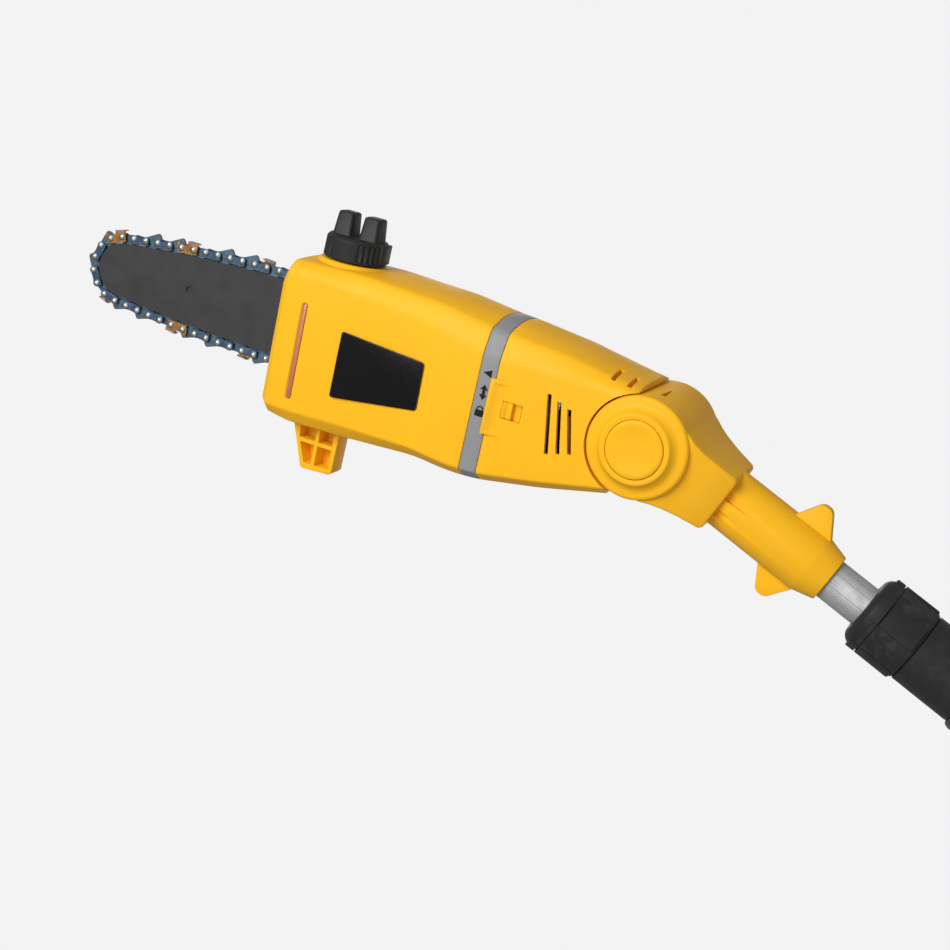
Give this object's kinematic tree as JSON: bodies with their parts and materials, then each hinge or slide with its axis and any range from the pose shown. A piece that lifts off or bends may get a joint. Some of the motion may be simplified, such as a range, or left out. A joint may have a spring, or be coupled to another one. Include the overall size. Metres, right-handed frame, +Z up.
{
  "type": "telescoping pole saw",
  "caption": "Corded electric pole saw: short bar and chain on a tilting motor head, twist-lock telescoping pole, foam fore grip and a looped rear handle.",
  "frame": {"origin": "on the pole's axis in the middle of the rear grip, where the rear hand holds it", "axes": "+X along the pole towards the user, +Y to the side the guide bar is on, +Z up"},
  "size_m": [1.7904, 0.084, 0.2083],
  "materials": {
    "yellow_plastic": "satin moulded",
    "black_plastic": "fine grain",
    "grey_plastic": "satin moulded",
    "black_foam": "soft foam",
    "steel": "plain",
    "bar_steel": "matt black paint",
    "chain_steel": "blued",
    "aluminium": "drawn and anodised",
    "copper": "wound copper",
    "tank_plastic": "translucent",
    "oil_window": "clear red-brown",
    "black_label": "plain gloss"
  },
  "bodies": {
    "outer_pole": {"outer_tube": "aluminium", "lock_hub": "black_plastic", "lock_collet": "grey_plastic", "foam_grip": "black_foam", "handle_shell_left": "black_plastic", "handle_shell_right": "black_plastic", "switch_box": "black_plastic", "power_inlet": "black_plastic", "handle_screw_1": "steel", "handle_screw_2": "steel", "handle_screw_3": "steel", "trigger_spring": "steel"},
    "lock_collar": {"lock_collar": "black_plastic"},
    "trigger": {"trigger": "black_plastic"},
    "lock_off_button": {"lock_off_button": "black_plastic"},
    "inner_pole": {"neck_shell_left": "yellow_plastic", "neck_shell_right": "yellow_plastic", "inner_tube": "aluminium", "pivot_pin": "steel", "neck_screw_1": "steel", "tilt_button_spring": "steel"},
    "tilt_button": {"tilt_button": "yellow_plastic"},
    "motor_unit": {"motor_shell_left": "yellow_plastic", "motor_shell_right": "yellow_plastic", "marking_ring": "grey_plastic", "bayonet_spigot": "black_plastic", "stator": "steel", "brush_gear": "black_plastic", "front_bearing": "steel", "rear_bearing": "steel", "tilt_bracket": "aluminium", "motor_screw_1": "steel", "motor_screw_2": "steel", "latch_spring": "steel"},
    "rotor": {"armature": "copper", "cooling_fan": "black_plastic", "motor_coupling": "steel"},
    "latch": {"latch_slider": "yellow_plastic"},
    "saw_head": {"head_shell_left": "yellow_plastic", "head_shell_right": "yellow_plastic", "sprocket_cover": "yellow_plastic", "cover_nut": "steel", "bar_stud": "steel", "label_plate": "black_label", "oil_window": "oil_window", "oil_tank": "tank_plastic", "branch_stop": "yellow_plastic", "pinion_bearing": "steel", "shaft_bearing": "steel", "head_screw_1": "steel", "head_screw_2": "steel"},
    "bar_set": {"guide_bar": "bar_steel", "saw_chain": "chain_steel", "tension_peg": "steel"},
    "tension_screw": {"tension_screw": "steel"},
    "oil_cap": {"oil_cap": "black_plastic"},
    "pinion": {"bevel_pinion": "steel"},
    "sprocket": {"sprocket_shaft": "steel", "bevel_gear": "steel", "drive_sprocket": "steel"}
  },
  "joints": [
    {"name": "pole_telescope", "type": "slide", "parent": "outer_pole", "child": "inner_pole", "axis": [-1, 0, 0], "range_m": [0, 0.65]},
    {"name": "lock_collar_turn", "type": "hinge", "parent": "outer_pole", "child": "lock_collar", "pos_m": [-1.037, 0, 0], "axis": [1, 0, 0], "range_deg": [0, 90]},
    {"name": "trigger_press", "type": "hinge", "parent": "outer_pole", "child": "trigger", "pos_m": [-0.078, 0, -0.0155], "axis": [0, -1, 0], "range_deg": [0, 7], "stiffness_Nm_per_rad": 0.8, "springref_deg": -11.46, "deforming": ["trigger_spring"]},
    {"name": "lock_off_press", "type": "slide", "parent": "outer_pole", "child": "lock_off_button", "axis": [0, 0, -1], "range_m": [0, 0.0035], "stiffness_N_per_m": 300, "springref_m": -0.003},
    {"name": "head_tilt", "type": "hinge", "parent": "inner_pole", "child": "motor_unit", "pos_m": [-1.215, 0, 0], "axis": [0, 1, 0], "range_deg": [-33, 22]},
    {"name": "tilt_button_press", "type": "slide", "parent": "inner_pole", "child": "tilt_button", "axis": [0, 1, 0], "range_m": [0, 0.004], "stiffness_N_per_m": 600, "springref_m": -0.003, "deforming": ["tilt_button_spring"]},
    {"name": "head_twist", "type": "hinge", "parent": "motor_unit", "child": "saw_head", "pos_m": [-1.31235, 0, -0.03933], "axis": [0.9272, 0, 0.3746], "range_deg": [0, 30]},
    {"name": "latch_slide", "type": "slide", "parent": "motor_unit", "child": "latch", "axis": [0.9272, 0, 0.3746], "range_m": [0, 0.0055], "stiffness_N_per_m": 400, "springref_m": -0.002, "deforming": ["latch_spring"]},
    {"name": "motor_spin", "type": "hinge", "parent": "motor_unit", "child": "rotor", "pos_m": [-1.28176, 0, -0.02697], "axis": [0.9272, 0, 0.3746], "continuous": true},
    {"name": "oil_cap_turn", "type": "hinge", "parent": "saw_head", "child": "oil_cap", "pos_m": [-1.43641, -0.004, -0.02992], "axis": [-0.3746, 0, 0.9272], "range_deg": [0, 360]},
    {"name": "bar_slide", "type": "slide", "parent": "saw_head", "child": "bar_set", "axis": [-0.9272, 0, -0.3746], "range_m": [-0.0015, 0.0025]},
    {"name": "tension_screw_turn", "type": "hinge", "parent": "saw_head", "child": "tension_screw", "pos_m": [-1.43895, 0.0055, -0.10774], "axis": [-0.9272, 0, -0.3746], "range_deg": [-675, 1125]},
    {"name": "pinion_spin", "type": "hinge", "parent": "saw_head", "child": "pinion", "pos_m": [-1.36149, 0, -0.05919], "axis": [0.9272, 0, 0.3746], "continuous": true},
    {"name": "sprocket_spin", "type": "hinge", "parent": "saw_head", "child": "sprocket", "pos_m": [-1.36149, 0, -0.05919], "axis": [0, 1, 0], "continuous": true}
  ],
  "couplings": [
    {"joint": "tension_screw_turn", "follows": "bar_slide", "rad_per_m": 7854},
    {"joint": "pinion_spin", "follows": "motor_spin", "ratio": 1},
    {"joint": "sprocket_spin", "follows": "motor_spin", "ratio": 0.33333}
  ]
}
